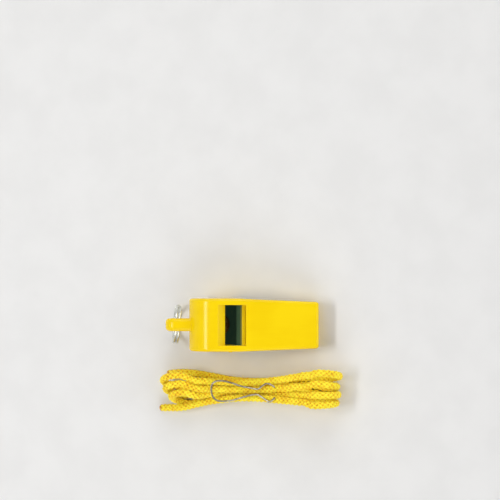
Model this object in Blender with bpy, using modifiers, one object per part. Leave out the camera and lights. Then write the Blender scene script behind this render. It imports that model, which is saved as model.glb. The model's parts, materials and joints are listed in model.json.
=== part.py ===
"""A moulded plastic pea whistle with its split ring, and its folded lanyard cord with a wire hook.

The whistle is drawn in its own frame: origin on the chamber's axis, x towards the mouthpiece, z out of the
flat roof. That frame is then tipped so that the whistle lies as it does on a table, on its round chamber and
on the lower edge of its mouthpiece. The cord lies beside it, folded into a hank, with the hook on top.
"""

import math

import bmesh
import bpy
from mathutils import Matrix, Vector

MM = 0.001
GAP = 0.3 * MM
WELD = 0.001 * MM

# Whistle body
CHAMBER_R = 10.3 * MM
ROUND_WALL = 1.7 * MM
CHEEK = 2.4 * MM
HALF_WIDTH = 10.3 * MM
TIP_HALF_WIDTH = 9.0 * MM
TAPER_X = 9.0 * MM
TIP_X = 40.2 * MM
TIP_HEIGHT = 9.4 * MM
UNDERSIDE_SLOPE = math.radians(4.3)
THROAT_FILLET = 4.0 * MM
EDGE = 1.0 * MM
CHAMBER_IN = CHAMBER_R - ROUND_WALL
ARC_STEP = math.radians(6.0)
FLAT = math.radians(0.5)

# Window, lip and windway
LIP_X = 3.8 * MM
LIP_Z = 8.0 * MM
RAMP_X = 1.1 * MM
ROOF_EDGE_X = 11.9 * MM
SILL_X = 10.5 * MM
SILL_Z = 6.9 * MM
POCKET_TURN = math.radians(20.0)
SILL_STEP = 0.05 * MM
WINDWAY_HALF_WIDTH = 7.4 * MM
MOUTH_HALF_WIDTH = 6.6 * MM
MOUTH_FLOOR_Z = 4.1 * MM
WINDWAY_TOP_Z = 8.6 * MM

# Round cap that closes the chamber's -y side
REBATE_R = 8.9 * MM
REBATE_DEPTH = 1.0 * MM
CAP_HOLE_R = 7.9 * MM

# Lug for the ring
LUG_X = -15.6 * MM
LUG_Z = 0.1 * MM
LUG_R = 4.0 * MM
LUG_HALF_THICK = 2.5 * MM
LUG_EDGE = 1.6 * MM
LUG_HOLE_R = 2.1 * MM
LUG_ROOT_X = -8.0 * MM

# Pea and ring
PEA_R = 4.6 * MM
PEA_ORBIT = CHAMBER_IN - PEA_R - GAP
RING_R = 7.2 * MM
RING_WIRE_R = 0.55 * MM
RING_PITCH = 1.3 * MM
RING_DROP = 7.7 * MM
RING_LEAN = math.radians(4.0)
RING_YAW = math.radians(-5.0)
RING_STEP = math.radians(12.0)
RING_CROSS = math.radians(20.0)

# Cord hank and hook, in the table's frame
HANK_X = 2.5 * MM
HANK_Y = -26.0 * MM
HANK_HALF_LENGTH = 38.5 * MM
HANK_END_HALF_WIDTH = 8.6 * MM
HANK_END_HEIGHT = 15.0 * MM
HANK_CORNER_R = 5.0 * MM
WAIST_X = 0.5 * MM
WAIST_HALF_WIDTH = 4.6 * MM
WAIST_HEIGHT = 8.4 * MM
WAIST_REACH = 38.0 * MM
HANK_STEPS = 48
HOOK_X = WAIST_X + 0.7 * MM
HOOK_WIRE_R = 0.35 * MM
HOOK_STEP = 4

# The chamber's axis, set so that the whistle's box is centred on the origin
CHAMBER_X = -10.0 * MM

YELLOW = (0.93, 0.63, 0.006)
CORD_YELLOW = (0.88, 0.56, 0.03)
CORK = (0.42, 0.25, 0.11)
STEEL = (0.62, 0.62, 0.60)


def clear_scene():
    for thing in list(bpy.data.objects):
        bpy.data.objects.remove(thing, do_unlink=True)


def new_collection(name):
    made = bpy.data.collections.new(name)
    bpy.context.scene.collection.children.link(made)
    return made


def new_material(name, colour, roughness, metallic=0.0):
    made = bpy.data.materials.new(name)
    made.use_nodes = True
    shader = made.node_tree.nodes["Principled BSDF"]
    shader.inputs["Base Color"].default_value = (*colour, 1.0)
    shader.inputs["Roughness"].default_value = roughness
    shader.inputs["Metallic"].default_value = metallic
    made.diffuse_color = (*colour, 1.0)
    return made


def arc(centre, radius, start, end):
    """Points of an arc from one angle to another, both ends included."""
    steps = max(1, math.ceil(abs(end - start) / ARC_STEP))
    turns = [start + (end - start) * i / steps for i in range(steps + 1)]
    return [(centre[0] + radius * math.cos(a), centre[1] + radius * math.sin(a)) for a in turns]


def as_mesh(curve_object):
    """The curve's evaluated shape as a mesh object with its caps welded on. The curve is removed."""
    graph = bpy.context.evaluated_depsgraph_get()
    mesh = bpy.data.meshes.new_from_object(curve_object.evaluated_get(graph))
    name = curve_object.name
    place = curve_object.matrix_world.copy()
    home = curve_object.users_collection[0]
    bpy.data.objects.remove(curve_object, do_unlink=True)
    shape = bmesh.new()
    shape.from_mesh(mesh)
    bmesh.ops.remove_doubles(shape, verts=shape.verts, dist=WELD)
    bmesh.ops.dissolve_limit(shape, angle_limit=FLAT, verts=shape.verts, edges=shape.edges)
    bmesh.ops.recalc_face_normals(shape, faces=shape.faces)
    shape.to_mesh(mesh)
    shape.free()
    made = bpy.data.objects.new(name, mesh)
    made.matrix_world = place
    home.objects.link(made)
    return made


def slab(name, outline, low, high, home, upright=True):
    """A flat outline made solid: (x, z) points spread from y=low to y=high, or (x, y) points from z=low to z=high."""
    curve = bpy.data.curves.new(name, "CURVE")
    curve.dimensions = "2D"
    curve.fill_mode = "BOTH"
    curve.extrude = (high - low) / 2
    line = curve.splines.new("POLY")
    line.points.add(len(outline) - 1)
    for point, (across, up) in zip(line.points, outline):
        point.co = (across, up, 0.0, 1.0)
    line.use_cyclic_u = True
    drawn = bpy.data.objects.new(name, curve)
    home.objects.link(drawn)
    made = as_mesh(drawn)
    middle = (low + high) / 2
    if upright:
        made.data.transform(Matrix.Translation((0, middle, 0)) @ Matrix.Rotation(math.pi / 2, 4, "X"))
    else:
        made.data.transform(Matrix.Translation((0, 0, middle)))
    return made


def across_cylinder(name, centre, radius, low, high, home):
    """A cylinder whose axis is along y, from y=low to y=high."""
    return slab(name, arc(centre, radius, 0.0, 2 * math.pi)[:-1], low, high, home)


def wire(name, path, radius, home):
    """A round wire along the points of path, with filled ends."""
    curve = bpy.data.curves.new(name, "CURVE")
    curve.dimensions = "3D"
    curve.bevel_depth = radius
    curve.bevel_resolution = 2
    curve.use_fill_caps = True
    line = curve.splines.new("POLY")
    line.points.add(len(path) - 1)
    for point, place in zip(line.points, path):
        point.co = (*place, 1.0)
    made = bpy.data.objects.new(name, curve)
    home.objects.link(made)
    return made


def smooth_path(points, steps):
    """A Catmull-Rom curve through points, with that many steps between each two."""
    ends = [2 * points[0] - points[1], *points, 2 * points[-1] - points[-2]]
    path = []
    for a, b, c, d in zip(ends, ends[1:], ends[2:], ends[3:]):
        for i in range(steps):
            t = i / steps
            path.append(
                0.5 * (2 * b + (c - a) * t + (2 * a - 5 * b + 4 * c - d) * t**2 + (3 * b - a - 3 * c + d) * t**3)
            )
    return [*path, points[-1]]


def boolean(target, tool, operation):
    step = target.modifiers.new(f"{operation.lower()} {tool.name}", "BOOLEAN")
    step.operation = operation
    step.solver = "EXACT"
    step.object = tool
    tool.hide_render = True
    tool.display_type = "WIRE"


def bevel(target, width, angle=40.0, segments=3):
    step = target.modifiers.new("rounded edges", "BEVEL")
    step.width = width
    step.segments = segments
    step.use_clamp_overlap = False
    step.limit_method = "ANGLE"
    step.angle_limit = math.radians(angle)


def smooth(target, angle=30.0):
    target.data.shade_smooth()
    target.data.set_sharp_from_angle(angle=math.radians(angle))


def side_outline():
    """The whistle seen from the side: flat roof, round chamber, throat fillet and sloping underside."""
    bottom = (TIP_X, CHAMBER_R - TIP_HEIGHT)
    back = Vector((-math.cos(UNDERSIDE_SLOPE), -math.sin(UNDERSIDE_SLOPE)))
    down = Vector((math.sin(UNDERSIDE_SLOPE), -math.cos(UNDERSIDE_SLOPE)))
    start = Vector(bottom) + THROAT_FILLET * down
    reach = CHAMBER_R + THROAT_FILLET
    along = -start.dot(back) - math.sqrt(start.dot(back) ** 2 - start.length_squared + reach**2)
    hub = start + along * back
    chamber_end = math.atan2(hub.y, hub.x) + 2 * math.pi
    round_wall = arc((0, 0), CHAMBER_R, math.pi / 2, chamber_end)
    first = math.atan2(-hub.y, -hub.x)
    last = math.atan2(-down.y, -down.x)
    fillet = arc(hub, THROAT_FILLET, first, last)
    return [(TIP_X, CHAMBER_R), *round_wall, *fillet[1:], bottom]


def plan_outline():
    """The whistle seen from above: parallel over the chamber, then tapered to the tip."""
    far = -CHAMBER_R - EDGE
    return [
        (far, -HALF_WIDTH),
        (TAPER_X, -HALF_WIDTH),
        (TIP_X, -TIP_HALF_WIDTH),
        (TIP_X, TIP_HALF_WIDTH),
        (TAPER_X, HALF_WIDTH),
        (far, HALF_WIDTH),
    ]


def air_outline():
    """The hollow seen from the side: window over lip and sill, the round chamber, and the pocket under the sill."""
    above = CHAMBER_R + EDGE
    ramp = (LIP_X - RAMP_X) / (CHAMBER_R - LIP_Z)
    lip_turn = math.acos(LIP_X / CHAMBER_IN)
    chamber = arc((0, 0), CHAMBER_IN, lip_turn, 2 * math.pi + POCKET_TURN)
    return [
        (RAMP_X - EDGE * ramp, above),
        (LIP_X, LIP_Z),
        *chamber,
        (SILL_X, SILL_Z),
        (ROOF_EDGE_X, SILL_Z),
        (ROOF_EDGE_X, above),
    ]


def lug_outline():
    round_end = arc((LUG_X, LUG_Z), LUG_R, math.pi / 2, 3 * math.pi / 2)
    return [*round_end, (LUG_ROOT_X, LUG_Z - LUG_R), (LUG_ROOT_X, LUG_Z + LUG_R)]


def windway_cutter(home):
    """A wedge-shaped air way: low and wide at the window, taller and narrower at the mouth."""
    shape = bmesh.new()
    bmesh.ops.create_cube(shape, size=2.0)
    near = SILL_X + GAP
    far = TIP_X + EDGE
    for corner in shape.verts:
        at_mouth = corner.co.x > 0
        width = MOUTH_HALF_WIDTH if at_mouth else WINDWAY_HALF_WIDTH
        floor = MOUTH_FLOOR_Z if at_mouth else SILL_Z - SILL_STEP
        corner.co.x = far if at_mouth else near
        corner.co.y *= width
        corner.co.z = WINDWAY_TOP_Z if corner.co.z > 0 else floor
    mesh = bpy.data.meshes.new("windway_cut")
    shape.to_mesh(mesh)
    shape.free()
    made = bpy.data.objects.new("windway_cut", mesh)
    home.objects.link(made)
    return made


def make_body(parts, cutters, plastic):
    inside = HALF_WIDTH - CHEEK
    beyond = HALF_WIDTH + EDGE
    body = slab("whistle_body", side_outline(), -beyond, beyond, parts)
    plan = slab("plan_cut", plan_outline(), -CHAMBER_R - EDGE, CHAMBER_R + EDGE, cutters, upright=False)
    boolean(body, plan, "INTERSECT")
    bevel(body, EDGE)
    lug = slab("lug_join", lug_outline(), -LUG_HALF_THICK, LUG_HALF_THICK, cutters)
    bevel(lug, LUG_EDGE)
    boolean(body, lug, "UNION")
    axis = (0.0, 0.0)
    cuts = [
        slab("air_cut", air_outline(), -inside, inside, cutters),
        across_cylinder("cap_hole_cut", axis, CAP_HOLE_R, -beyond, -inside + GAP, cutters),
        across_cylinder("rebate_cut", axis, REBATE_R, -beyond, REBATE_DEPTH - HALF_WIDTH, cutters),
        windway_cutter(cutters),
        across_cylinder("lug_hole_cut", (LUG_X, LUG_Z), LUG_HOLE_R, -beyond, beyond, cutters),
    ]
    for cut in cuts:
        boolean(body, cut, "DIFFERENCE")
    body.data.materials.append(plastic)
    smooth(body)
    return [body, lug, plan, *cuts]


def make_cap(parts, plastic):
    """Turned cap: a thin flange in the rebate and a spigot in the hole behind it."""
    flange = REBATE_R - GAP
    spigot = CAP_HOLE_R - GAP
    face = HALF_WIDTH
    step = HALF_WIDTH - REBATE_DEPTH + GAP
    inner = HALF_WIDTH - CHEEK
    round_off = 0.25 * MM
    profile = [
        (0, face),
        (flange - round_off, face),
        (flange, face - round_off),
        (flange, step),
        (spigot, step),
        (spigot, inner),
        (0, inner),
    ]
    mesh = bpy.data.meshes.new("chamber_cap")
    edges = [(i, i + 1) for i in range(len(profile) - 1)]
    mesh.from_pydata([(r, 0, z) for r, z in profile], edges, [])
    cap = bpy.data.objects.new("chamber_cap", mesh)
    parts.objects.link(cap)
    turned = cap.modifiers.new("turned", "SCREW")
    turned.steps = 60
    turned.render_steps = 60
    turned.use_merge_vertices = True
    turned.merge_threshold = 0.00001
    cap.rotation_euler.x = math.pi / 2
    mesh.materials.append(plastic)
    smooth(cap)
    return cap


def make_pea(parts, cork, tip_angle):
    """A ball lying on the lowest part of the chamber's wall. Its origin is on the chamber's axis."""
    shape = bmesh.new()
    bmesh.ops.create_uvsphere(shape, u_segments=32, v_segments=20, radius=PEA_R)
    down = Vector((math.sin(tip_angle), 0, -math.cos(tip_angle)))
    bmesh.ops.translate(shape, verts=shape.verts, vec=PEA_ORBIT * down)
    mesh = bpy.data.meshes.new("pea")
    shape.to_mesh(mesh)
    shape.free()
    mesh.materials.append(cork)
    mesh.shade_smooth()
    pea = bpy.data.objects.new("pea", mesh)
    parts.objects.link(pea)
    return pea


def ring_path():
    """Almost two turns of wire side by side, crossing over once. Its middle is RING_DROP below the pivot."""
    start = RING_CROSS
    end = 4 * math.pi - RING_CROSS
    count = math.ceil((end - start) / RING_STEP)
    path = []
    for i in range(count + 1):
        turn = start + (end - start) * i / count
        moved = min(1.0, max(0.0, (turn - 2 * math.pi + RING_CROSS) / (2 * RING_CROSS)))
        side = RING_PITCH * (0.5 * (1 - math.cos(math.pi * moved)) - 0.5)
        place = Vector((side, RING_R * math.cos(turn), -RING_R * math.sin(turn)))
        path.append(Matrix.Rotation(RING_YAW, 3, "Z") @ place + Vector((0, 0, -RING_DROP)))
    return path


def make_ring(parts, steel):
    """Split ring through the lug. Its origin is on the axis of the lug's hole."""
    ring = wire("split_ring", ring_path(), RING_WIRE_R, parts)
    ring.location = (LUG_X, 0, LUG_Z)
    ring.rotation_euler.y = RING_LEAN
    ring.data.materials.append(steel)
    return ring


def spread(x):
    """How far along from waist to end a place on the hank is: 0 at the waist, 1 where it is widest."""
    away = min(1.0, abs(x - WAIST_X) / WAIST_REACH)
    return 0.5 - 0.5 * math.cos(math.pi * away)


def hank_height(x):
    return WAIST_HEIGHT + (HANK_END_HEIGHT - WAIST_HEIGHT) * spread(x)


def hank_half_width(x):
    """Half the hank's width, drawn in at its ends by the rounded corners."""
    full = WAIST_HALF_WIDTH + (HANK_END_HALF_WIDTH - WAIST_HALF_WIDTH) * spread(x)
    past = abs(x - HANK_X) - (HANK_HALF_LENGTH - HANK_CORNER_R)
    share = min(1.0, max(0.0, past / HANK_CORNER_R))
    return full - HANK_CORNER_R * (1 - math.sqrt(1 - share**2))


def make_hank(parts, cutters, cord):
    """The folded cord's outer shape: a bone outline from above, and lower at the waist from the side."""
    turns = [math.pi * i / HANK_STEPS for i in range(HANK_STEPS + 1)]
    stations = [HANK_X - HANK_HALF_LENGTH * math.cos(turn) for turn in turns]
    near = [(x, HANK_Y - hank_half_width(x)) for x in stations]
    far = [(x, HANK_Y + hank_half_width(x)) for x in stations[::-1]]
    hank = slab("lanyard_hank", near + far, 0.0, HANK_END_HEIGHT + EDGE, parts, upright=False)
    beyond = HANK_HALF_LENGTH + EDGE
    levels = [WAIST_X + WAIST_REACH * (2 * i / HANK_STEPS - 1) for i in range(HANK_STEPS + 1)]
    top = [(x, hank_height(x)) for x in levels[::-1]]
    side = [
        (HANK_X - beyond, -EDGE),
        (HANK_X + beyond, -EDGE),
        (HANK_X + beyond, HANK_END_HEIGHT),
        *top,
        (HANK_X - beyond, HANK_END_HEIGHT),
    ]
    low = HANK_Y - HANK_END_HALF_WIDTH - EDGE
    high = HANK_Y + HANK_END_HALF_WIDTH + EDGE
    boolean(hank, slab("hank_side_cut", side, low, high, cutters), "INTERSECT")
    hank.data.materials.append(cord)
    smooth(hank, 50.0)
    return hank


# Hook: from one flared end round the bow to the other, in millimetres from HOOK_X and HANK_Y
HOOK_POINTS = [
    (13.1, 1.4),
    (11.6, 2.4),
    (9.6, 2.8),
    (7.7, 1.8),
    (5.8, 0.6),
    (2.5, 1.0),
    (-1.2, 1.6),
    (-5.0, 2.8),
    (-8.7, 3.6),
    (-11.2, 3.4),
    (-12.7, 2.1),
    (-13.1, -0.1),
    (-12.5, -2.7),
    (-10.4, -4.3),
    (-5.8, -4.2),
    (-2.1, -3.2),
    (2.3, -2.0),
    (5.4, -1.6),
    (7.5, -2.6),
    (9.2, -3.6),
    (11.0, -4.2),
    (13.1, -2.6),
]


def make_hook(parts, steel):
    """Spring wire hook lying on the hank's waist."""
    points = []
    for across, along in HOOK_POINTS:
        x = HOOK_X + across * MM
        points.append(Vector((x, HANK_Y + along * MM, hank_height(x) + GAP + HOOK_WIRE_R)))
    hook = wire("wire_hook", smooth_path(points, HOOK_STEP), HOOK_WIRE_R, parts)
    hook.data.materials.append(steel)
    return hook


def tipped_angle():
    """The roof's slope when the whistle lies on its chamber and on the rounded lower edge of its tip."""
    edge = Vector((TIP_X - EDGE, CHAMBER_R - TIP_HEIGHT + EDGE))
    return math.atan2(edge.y, edge.x) + math.asin((CHAMBER_R - EDGE) / edge.length)


def main():
    clear_scene()
    parts = new_collection("training_whistle")
    cutters = new_collection("cutters")
    plastic = new_material("yellow_plastic", YELLOW, 0.3)
    cord = new_material("braided_cord", CORD_YELLOW, 0.85)
    cork = new_material("cork", CORK, 0.8)
    steel = new_material("bright_steel", STEEL, 0.25, metallic=1.0)

    tip_angle = tipped_angle()
    whistle = bpy.data.objects.new("whistle_frame", None)
    parts.objects.link(whistle)
    whistle.location = (CHAMBER_X, 0, CHAMBER_R)
    whistle.rotation_euler.y = tip_angle
    pieces = make_body(parts, cutters, plastic)
    pieces += [make_cap(parts, plastic), make_pea(parts, cork, tip_angle), make_ring(parts, steel)]
    for piece in pieces:
        piece.parent = whistle

    make_hank(parts, cutters, cord)
    make_hook(parts, steel)
    bpy.context.view_layer.update()


main()
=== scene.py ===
# %% [markdown]
# # A pea whistle with its split ring and its folded lanyard
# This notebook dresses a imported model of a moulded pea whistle. The whistle has a round chamber with a loose
# cork pea in it, a flat tapered mouthpiece, a lug with a split ring, and beside it a braided lanyard cord
# that is folded into a hank with a spring wire hook lying on its waist.
#
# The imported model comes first. Its boxes and joints say where everything is, so nothing here is fitted by
# eye.

import json
import math

import bmesh
import bpy
import numpy as np
from mathutils import Matrix, Vector, noise


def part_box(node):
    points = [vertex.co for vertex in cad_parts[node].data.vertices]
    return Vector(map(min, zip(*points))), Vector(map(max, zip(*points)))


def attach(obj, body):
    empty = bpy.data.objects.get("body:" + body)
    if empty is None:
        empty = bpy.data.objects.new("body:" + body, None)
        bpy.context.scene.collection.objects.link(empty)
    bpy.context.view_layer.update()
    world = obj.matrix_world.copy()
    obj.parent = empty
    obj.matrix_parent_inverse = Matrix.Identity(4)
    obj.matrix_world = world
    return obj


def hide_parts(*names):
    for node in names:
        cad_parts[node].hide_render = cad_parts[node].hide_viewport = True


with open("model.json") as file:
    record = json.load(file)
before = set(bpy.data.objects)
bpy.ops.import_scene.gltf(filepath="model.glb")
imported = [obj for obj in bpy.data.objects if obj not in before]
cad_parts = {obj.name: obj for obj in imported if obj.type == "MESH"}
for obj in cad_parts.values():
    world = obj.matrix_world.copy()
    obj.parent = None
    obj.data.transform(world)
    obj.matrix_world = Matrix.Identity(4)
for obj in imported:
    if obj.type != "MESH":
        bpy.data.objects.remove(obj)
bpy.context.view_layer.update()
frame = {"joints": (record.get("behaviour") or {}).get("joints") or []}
MM = 0.001
joints = {joint["name"]: joint for joint in frame["joints"]}

# %% [markdown]
# The whistle lies on its round chamber and on the lower edge of its mouthpiece, so it is easier to draw it in
# a frame of its own and to tip that frame. The pea turns about the chamber's axis and the ring about the
# lug's hole. Those two pivots are all that is needed to find the frame again: its origin is the first, and
# the second lies 15.6 mm behind it and a hair above it.

# %% The whistle's own frame
CHAMBER_R = 10.3 * MM
LUG_X = -15.6 * MM
LUG_Z = 0.1 * MM
chamber_axis = Vector(joints["pea_orbit"]["pos_m"])
lug_hole = Vector(joints["ring_swing"]["pos_m"])
away = lug_hole - chamber_axis
tilt = math.atan2(LUG_Z, LUG_X) - math.atan2(away.z, away.x)
WHISTLE = Matrix.Translation(chamber_axis) @ Matrix.Rotation(tilt, 4, "Y")
print(
    f"roof slopes {math.degrees(tilt):.1f} degrees, lug hole {away.length / MM:.2f} mm from the chamber's axis"
)

# %% [markdown]
# ## Camera
# A long lens looks straight down on the flat roof of the whistle, which keeps its long edges almost parallel.
# The mouthpiece points to the right and the cord lies below. The colours are shown as they are, without a
# film-like curve, because such a curve would turn the strong yellow pale.

# %% Camera
def link(name, data):
    """A new object for the data, put in the scene."""
    made = bpy.data.objects.new(name, data)
    bpy.context.scene.collection.objects.link(made)
    return made


VIEW_WIDTH = 195.0 * MM
CAMERA_AWAY = 1.0
VIEW_CENTRE = (13.5 * MM, 29.25 * MM, 5.0 * MM)
lens = bpy.data.cameras.new("long lens")
lens.sensor_width = 36.0
lens.lens = lens.sensor_width * CAMERA_AWAY / VIEW_WIDTH
lens.clip_start = 0.01
camera = link("camera", lens)
camera.matrix_world = WHISTLE @ Matrix.Translation((*VIEW_CENTRE[:2], VIEW_CENTRE[2] + CAMERA_AWAY))
bpy.context.scene.camera = camera
bpy.context.scene.view_settings.view_transform = "Standard"
print(f"lens {lens.lens:.0f} mm, {CAMERA_AWAY:.1f} m away")

# %% [markdown]
# ## Light
# A smooth yellow plastic shows the shape of whatever lights it. A narrow upright strip on the left leaves one
# thin bright line down the round chamber. Broader boxes on the other three sides fill the rest, and nothing
# bright hangs straight above, because the flat roof would mirror it and lose its colour. The sky is bright at
# the horizon and dim overhead for the same reason.

# %% Lights
def softbox(name, across, along, distance, size, watts):
    """A box of light that faces the whistle, turned from the roof's normal by two angles in degrees."""
    lamp = bpy.data.lights.new(name, "AREA")
    lamp.shape = "RECTANGLE"
    lamp.size, lamp.size_y = size
    lamp.energy = watts
    made = link(name, lamp)
    turn = Matrix.Rotation(math.radians(across), 4, "Y") @ Matrix.Rotation(math.radians(-along), 4, "X")
    made.matrix_world = WHISTLE @ turn @ Matrix.Translation((0, 0, distance))


softbox("strip light", -43, 0, 0.62, (0.10, 0.30), 1.5)
softbox("right box", 52, 0, 0.75, (0.50, 0.50), 1.3)
softbox("far box", 0, 54, 0.75, (0.60, 0.40), 1.8)
softbox("near box", 0, -54, 0.75, (0.60, 0.40), 1.8)
print("lights:", ", ".join(lamp.name for lamp in bpy.data.lights))

# %% [markdown]
# Every node tree here is built by one helper, put. It makes a node, sets what is given as a number and links
# what is given as a socket, so that a tree reads from top to bottom like a recipe.

# %% Node helper
def feed(node, key, value):
    """Sets a node's input to a value, or links a socket to it."""
    if isinstance(value, bpy.types.NodeSocket):
        node.id_data.links.new(value, node.inputs[key])
    else:
        node.inputs[key].default_value = value


def put(tree, kind, inputs=None, **settings):
    """One node. Inputs are keyed by name or number, and each is either a value or a socket to link from."""
    made = tree.nodes.new(kind)
    for key, value in settings.items():
        setattr(made, key, value)
    for key, value in (inputs or {}).items():
        feed(made, key, value)
    return made


def got(*what, **settings):
    """The first output of a node made by put."""
    return put(*what, **settings).outputs[0]


def calc(tree, operation, *values):
    """A Math node's result."""
    return got(tree, "ShaderNodeMath", dict(enumerate(values)), operation=operation)


def times(tree, one, other):
    return calc(tree, "MULTIPLY", one, other)


def plus(tree, one, other):
    return calc(tree, "ADD", one, other)


def minus(tree, one, other):
    return calc(tree, "SUBTRACT", one, other)


def clouds(tree, place, scale, detail):
    """Soft noise from 0 to 1."""
    inputs = {"Vector": place, "Scale": scale, "Detail": detail}
    return put(tree, "ShaderNodeTexNoise", inputs).outputs["Fac"]


def emboss(tree, shader, height, strength, depth):
    """Relief as deep as depth, without moving the surface."""
    inputs = {"Strength": strength, "Distance": depth, "Height": height}
    feed(shader, "Normal", got(tree, "ShaderNodeBump", inputs))


def ramp(tree, factor, stops, smooth=True):
    """A colour ramp: stops are (place, colour), the colours in linear light."""
    made = put(tree, "ShaderNodeValToRGB", {"Fac": factor})
    made.color_ramp.interpolation = "EASE" if smooth else "LINEAR"
    points = made.color_ramp.elements
    while len(points) < len(stops):
        points.new(0.5)
    for point, (place, colour) in zip(points, stops):
        point.position = place
        point.color = (*colour, 1.0)
    return made.outputs["Color"]


# %% [markdown]
# The sky is a colour ramp by height. It fills the shadows, and the ring mirrors it.

# %% Sky
sky = bpy.data.worlds.new("studio")
bpy.context.scene.world = sky
sky.use_nodes = True
where = put(sky.node_tree, "ShaderNodeTexCoord").outputs["Generated"]
upward = put(sky.node_tree, "ShaderNodeSeparateXYZ", {"Vector": where}).outputs["Z"]
shade = ramp(
    sky.node_tree, upward, [(0.0, (0.80, 0.80, 0.80)), (0.35, (0.62, 0.62, 0.63)), (0.8, (0.22, 0.22, 0.23))]
)
sky.node_tree.links.new(shade, sky.node_tree.nodes["Background"].inputs["Color"])

# %% [markdown]
# The floor is a pale sheet, far larger than the view, with a very slight mottle so that it doesn't look
# like an empty page. Out of view, from 0.35 m outwards, it glows more and more: painted light.

# %% Floor
def paint(name):
    """A new material, its tree and its shader."""
    made = bpy.data.materials.new(name)
    made.use_nodes = True
    return made, made.node_tree, made.node_tree.nodes["Principled BSDF"]


def solid(name, shape):
    """A bmesh made into an object."""
    mesh = bpy.data.meshes.new(name)
    shape.to_mesh(mesh)
    shape.free()
    return link(name, mesh)


FLOOR_R = 4.0
GLOW_FROM, GLOW_TO, GLOW = 0.35, 1.6, 0.52
pale, tree, shader = paint("pale floor")
spot = put(tree, "ShaderNodeTexCoord").outputs["Object"]
mottle = clouds(tree, spot, 60.0, 4.0)
feed(shader, "Base Color", ramp(tree, mottle, [(0.3, (0.74, 0.735, 0.72)), (0.7, (0.77, 0.765, 0.75))]))
feed(shader, "Roughness", 0.7)
# Painted light: the floor's emission grows from 0.35 m to 1.6 m away from its middle.
far_off = put(tree, "ShaderNodeVectorMath", {0: spot}, operation="LENGTH").outputs["Value"]
reach = {"Value": far_off, 1: GLOW_FROM, 2: GLOW_TO, 3: 0.0, 4: GLOW}
glow = put(tree, "ShaderNodeMapRange", reach, interpolation_type="SMOOTHSTEP")
feed(shader, "Emission Strength", glow.outputs[0])
feed(shader, "Emission Color", (1.0, 0.99, 0.98, 1.0))
sheet = bmesh.new()
bmesh.ops.create_circle(sheet, cap_ends=True, segments=64, radius=FLOOR_R)
floor = solid("floor", sheet)
floor.data.materials.append(pale)

# %% [markdown]
# ## The lanyard cord
# The real lanyard is a limp braided cord, 3 mm thick and a little over 0.6 m long, with two bare sealed ends.
# It is folded into four turns. Eight runs of cord lie side by side, bunched in three rows at the waist and
# fanned out in two layers at the ends, where each fold stands on its lower run.
#
# The route could be drawn by hand, but eight runs that touch without passing through each other are quicker
# to work out: a loop lays the runs and folds out as a plan, and a short relaxation then pushes neighbours
# apart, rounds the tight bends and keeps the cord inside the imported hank.

# %% Cord facts
CORD = 3.0 * MM
STEP = 2.0 * MM
LEAST_BEND = 6.4 * MM
LEAST_APART = 0.95 * CORD
hank_low, hank_high = (Vector(corner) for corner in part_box("lanyard_hank"))
FLOOR_GAP = 0.02 * MM
HANK_X, HANK_Y = (hank_low.x + hank_high.x) / 2, (hank_low.y + hank_high.y) / 2
HALF_LENGTH = (hank_high.x - hank_low.x) / 2
END_HALF_WIDTH = (hank_high.y - hank_low.y) / 2
END_HEIGHT = hank_high.z
WAIST_X = HANK_X - 2.0 * MM
WAIST_HALF_WIDTH = 4.6 * MM
WAIST_HEIGHT = 8.4 * MM
WAIST_REACH = 38.0 * MM
CORNER_R = 2.0 * MM
print(
    f"hank {2 * HALF_LENGTH / MM:.0f} mm long, {2 * END_HALF_WIDTH / MM:.1f} wide, {END_HEIGHT / MM:.1f} high"
)

# %% The hank's outline
def spread(x):
    """0 at the waist, 1 where the hank is widest and highest."""
    return 0.5 - 0.5 * np.cos(np.pi * np.minimum(1.0, np.abs(x - WAIST_X) / WAIST_REACH))


def hank_height(x):
    return WAIST_HEIGHT + (END_HEIGHT - WAIST_HEIGHT) * spread(x)


def hank_half_width(x):
    full = WAIST_HALF_WIDTH + (END_HALF_WIDTH - WAIST_HALF_WIDTH) * spread(x)
    share = np.clip((np.abs(x - HANK_X) - (HALF_LENGTH - CORNER_R)) / CORNER_R, 0, 1)
    return full - CORNER_R * (1 - np.sqrt(1 - share**2))


# %% [markdown]
# Each run is given by where its middle line lies at the left end, at the waist and at the right end, as a
# distance across the hank and a height. Runs are listed in the order in which the cord takes them: a low one
# to the right, a fold, a high one back to the left, and so on.

# %% Plan of runs and folds
LOW = CORD / 2
HIGH = END_HEIGHT - CORD / 2
MID_ROW = WAIST_HEIGHT / 2
TOP_ROW = WAIST_HEIGHT - CORD / 2
FOLD_R = 6.2 * MM
runs = [
    ((8.8, LOW), (2.7, LOW), (4.9, LOW)),
    ((3.9, HIGH), (2.7, TOP_ROW), (6.6, HIGH)),
    ((1.6, LOW), (1.35, MID_ROW), (1.6, LOW)),
    ((0.8, HIGH), (0.0, TOP_ROW), (2.2, HIGH)),
    ((-1.6, LOW), (0.0, LOW), (-1.4, LOW)),
    ((-2.5, HIGH), (-1.35, MID_ROW), (-1.5, HIGH)),
    ((-4.3, LOW), (-2.7, LOW), (-4.4, LOW)),
    ((-7.4, LOW), (-2.7, TOP_ROW), (-4.6, HIGH)),
]
right_tips = [HANK_X + reach * MM for reach in (37.8, 36.8, 37.2, 36.6)]
left_tips = [HANK_X - reach * MM for reach in (36.6, 35.6, 34.0)]
near_end_x, far_end_x = HANK_X - 33.4 * MM, HANK_X - 37.0 * MM
TUCK = 3.0 * MM
TUCK_LENGTH = 9.0 * MM
FAN_OUT, SHIFT = 1.06, 0.4
WANDER, WANDER_LENGTH = 0.22, 6.0 * MM


def on_run(run, x):
    left, waist, right = run
    outer = left if x < WAIST_X else right
    share = spread(x)
    across = waist[0] + (outer[0] - waist[0]) * share
    wander = WANDER * math.sin(x / WANDER_LENGTH + 7 * across) * share
    across = FAN_OUT * across + wander + SHIFT
    return Vector((x, HANK_Y + across * MM, waist[1] + (outer[1] - waist[1]) * share))


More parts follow.
